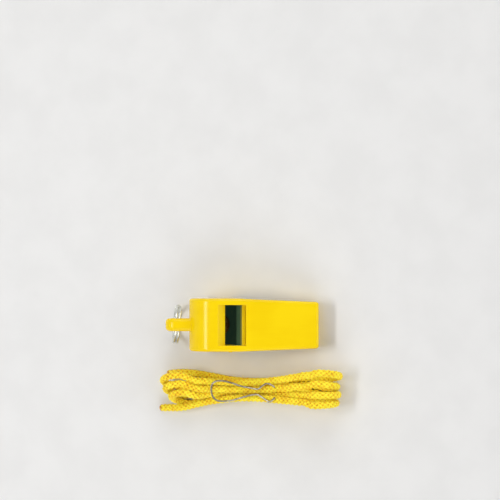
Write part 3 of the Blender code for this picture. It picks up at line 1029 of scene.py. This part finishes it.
def turned(name, profile, sides):
    """A profile of (radius, y) points turned about the y axis. It starts and ends on the axis."""
    shape = bmesh.new()
    ends = [shape.verts.new((0, y, 0)) for radius, y in (profile[0], profile[-1])]
    rings = []
    for radius, y in profile[1:-1]:
        turns = [math.tau * i / sides for i in range(sides)]
        rings.append([shape.verts.new((radius * math.cos(a), y, radius * math.sin(a))) for a in turns])
    for i in range(sides):
        j = (i + 1) % sides
        shape.faces.new((ends[0], rings[0][i], rings[0][j]))
        shape.faces.new((ends[1], rings[-1][j], rings[-1][i]))
        for near, far in zip(rings, rings[1:]):
            shape.faces.new((near[i], far[i], far[j], near[j]))
    bmesh.ops.recalc_face_normals(shape, faces=shape.faces)
    return solid(name, shape)


rim = arc((FLANGE_R - ROUND_OFF, FACE_Y + ROUND_OFF), ROUND_OFF, -math.pi / 2, 0, 18)
dish = [(0, DISH_Y), (DISH_R, DISH_Y), (DISH_RIM_R, FACE_Y)]
cap = turned(
    "cap_disc", [*dish, *rim, (FLANGE_R, STEP_Y), (SPIGOT_R, STEP_Y), (SPIGOT_R, INNER_Y), (0, INNER_Y)], 120
)
round_edges(cap, 0.05 * MM, 2, 30)
soften(cap, 60)
cap.data.materials.append(yellow)
keep_place(cap)
register(cap, "whistle", "yellow_plastic", "chamber_cap")

# %% [markdown]
# ## The pea
# The pea is a small ball cut from cork. Cork is a mass of cells with dark pores, and a ball of it is never
# quite round. A fine sphere is pushed in and out by noise at two scales, and pitted where the cells are open.

# %% Pea
PEA_R, LUMP, PIT = 4.6 * MM, 0.10 * MM, 0.22 * MM
pea_low, pea_high = (Vector(corner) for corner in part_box("pea"))
pea_centre = (pea_low + pea_high) / 2
cork, tree, shader = paint("cork")
spot = put(tree, "ShaderNodeTexCoord").outputs["Object"]
cells = got(tree, "ShaderNodeTexVoronoi", {"Vector": spot, "Scale": 2600.0}, feature="DISTANCE_TO_EDGE")
cloud = clouds(tree, spot, 700.0, 5.0)
light_cork = ramp(tree, cloud, [(0.35, (0.17, 0.075, 0.028)), (0.65, (0.36, 0.20, 0.09))])
pores = ramp(tree, cells, [(0.0, (0.45, 0.42, 0.38)), (0.12, (1.0, 1.0, 1.0))])
mixed = put(
    tree, "ShaderNodeMix", {0: 1.0, 6: light_cork, 7: pores}, data_type="RGBA", blend_type="MULTIPLY"
).outputs[2]
feed(shader, "Base Color", mixed)
feed(shader, "Roughness", 0.9)
emboss(tree, shader, cells, 0.8, 0.1 * MM)
shape = bmesh.new()
bmesh.ops.create_icosphere(shape, subdivisions=6, radius=PEA_R)
for point in shape.verts:
    outward = point.co.normalized()
    lumps = noise.noise(point.co * 300)
    cells_cut = min(0.0, noise.noise(point.co * 1900) + 0.15)
    point.co -= outward * (LUMP * (1 + lumps) - PIT * cells_cut)
    point.co += pea_centre
pea = finished(shape, "cork_pea", cork, "pea", "cork", "pea")

# %% [markdown]
# ## Wires
# The split ring and the spring hook are both a wire that follows a path, so one Geometry Nodes tree draws
# both: it resamples the path, sweeps a fine circle along it, closes the ends, and keeps what the material
# needs for drawn wire: how far along a point is and where it is round the wire.

# %% Wire by Geometry Nodes
def wire_group():
    sizes = [
        ("Wire", "Float", 0.5 * MM),
        ("Step", "Float", 0.3 * MM),
        ("Sides", "Int", 20),
        ("Finish", "Material", None),
    ]
    tree, given, result = new_group("drawn wire", sizes)
    line = got(tree, "GeometryNodeMeshToCurve", {"Mesh": given["Geometry"]})
    line = got(tree, "GeometryNodeResampleCurve", {"Curve": line, "Length": given["Step"]}, mode="LENGTH")
    line = keep(tree, line, "along", put(tree, "GeometryNodeSplineParameter").outputs["Length"])
    ring = circle(tree, given["Sides"], given["Wire"])
    turn = calc(tree, "DIVIDE", got(tree, "GeometryNodeInputIndex"), given["Sides"])
    ring = keep(tree, ring, "round", times(tree, turn, math.tau))
    tube = swept(tree, line, ring)
    tube = keep(tree, tube, "drawn", on_wire(tree), "FLOAT_VECTOR")
    tube = got(tree, "GeometryNodeSetShadeSmooth", {"Geometry": tube})
    real = realized(tree, tube)
    hand_over(tree, real, given, result)
    return tree


def drawn_metal(name, dull, bright, gloss):
    """Metal with fine scratches along the wire and a slight tarnish."""
    made, tree, shader = paint(name)
    drawn = read(tree, "drawn", "Vector")
    long_place = got(tree, "ShaderNodeMapping", {"Vector": drawn, "Scale": (0.25, 6.0, 6.0)})
    scratches = clouds(tree, long_place, 2.0, 5.0)
    tarnish = clouds(tree, drawn, 0.6, 3.0)
    feed(shader, "Base Color", ramp(tree, tarnish, [(0.3, dull), (0.7, bright)]))
    rough = got(tree, "ShaderNodeMapRange", {"Value": scratches, 1: 0.3, 2: 0.7, 3: gloss[0], 4: gloss[1]})
    feed(shader, "Roughness", rough)
    emboss(tree, shader, scratches, 0.4, 0.02 * MM)
    feed(shader, "Metallic", 1.0)
    return made


wires = wire_group()

# %% [markdown]
# ## The split ring
# A split ring is two turns of wire lying on each other. Both ends lie flat against the other turn, and the
# wire crosses from one level to the other in between. It hangs in the lug's hole and leans outwards on the
# table.

# %% Split ring
RING_R, RING_WIRE_R, RING_SIDE = 7.2 * MM, 0.55 * MM, 1.3 * MM
RING_YAW, RING_CROSS, RING_LEAN = math.radians(-5), math.radians(20), math.radians(4)
RING_DROP, RING_SLACK = 7.7 * MM, 0.8 * MM


def ring_path(step=math.radians(2)):
    """Two turns about the ring's own axis, shifted sideways by a smooth step at the crossing."""
    start, end = RING_CROSS, 2 * math.tau - RING_CROSS
    count = math.ceil((end - start) / step)
    for i in range(count + 1):
        turn = start + (end - start) * i / count
        crossed = min(1, max(0, (turn - math.tau + RING_CROSS) / (2 * RING_CROSS)))
        side = RING_SIDE * (0.5 - 0.5 * math.cos(math.pi * crossed) - 0.5)
        yield Vector((side, RING_R * math.cos(turn), -RING_R * math.sin(turn)))


hang = Matrix.Translation((0, 0, -RING_DROP)) @ Matrix.Rotation(RING_YAW, 4, "Z")
hole = WHISTLE @ Matrix.Translation((LUG_X, 0, LUG_Z)) @ Matrix.Rotation(RING_LEAN, 4, "Y")
place = Matrix.Translation((RING_SLACK, 0, 0)) @ hole @ hang
ring_steel = drawn_metal("nickel plated steel", (0.60, 0.61, 0.56), (0.84, 0.85, 0.79), (0.18, 0.32))
ring = line_object("ring_of_two_turns", [place @ point for point in ring_path()])
grown(ring, wires, wire=RING_WIRE_R, finish=ring_steel)
register(ring, "ring", "ring_steel", "split_ring")

# %% [markdown]
# ## The wire hook
# The hook is one thin springy wire, bent to a bow at one end and to two waved arms at the other. It lies on
# top of the hank's waist. It is too stiff to follow every strand, so its height is a nearly flat surface,
# fitted to the tops of the strands under it and let down a little, because the cord gives way.

# %% Wire hook
HOOK_X, HOOK_Y, HOOK_WIRE_R = WAIST_X + 0.7 * MM, HANK_Y + 0.4 * MM, 0.35 * MM
HOOK_POINTS = [
    (13.1, 1.4), (11.6, 2.4), (9.6, 2.8), (7.7, 1.8), (5.8, 0.6), (2.5, 1.0), (-1.2, 1.6), (-5.0, 2.8),
    (-8.7, 3.6), (-11.2, 3.4), (-12.7, 2.1), (-13.1, -0.1), (-12.5, -2.7), (-10.4, -4.3), (-5.8, -4.2),
    (-2.1, -3.2), (2.3, -2.0), (5.4, -1.6), (7.5, -2.6), (9.2, -3.6), (11.0, -4.2), (13.1, -2.6),
]
GIVE = 0.25 * MM
bow = through(np.array([(HOOK_X + x * MM, HOOK_Y + y * MM, 0) for x, y in HOOK_POINTS]), 12)


def resting_height(line, radius):
    """How high a stiff wire lies: barely bent, laid on the tops of the strands, which give way a little."""
    clear = CORD / 2 + radius
    aside = np.linalg.norm(line[:, None, :2] - centreline[None, :, :2], axis=2)
    tops = centreline[None, :, 2] + np.sqrt(np.maximum(clear**2 - aside**2, 0))
    held = np.where(aside < clear, tops, 0).max(axis=1)
    x, y = ((line[:, :2] - line[:, :2].mean(axis=0)) / (10 * MM)).T
    shapes = np.stack([np.ones_like(x), x, x**2, y], axis=1)
    over = held > 0
    fit = shapes @ np.linalg.lstsq(shapes[over], held[over], rcond=None)[0]
    return fit + (held - fit)[over].max() - GIVE


bow[:, 2] = resting_height(bow, HOOK_WIRE_R)
spring_steel = drawn_metal("spring wire", (0.20, 0.18, 0.15), (0.46, 0.43, 0.37), (0.25, 0.45))
hook = line_object("waved_hook", bow)
grown(hook, wires, wire=HOOK_WIRE_R, finish=spring_steel, sides=14)
register(hook, "hook", "hook_wire", "wire_hook")
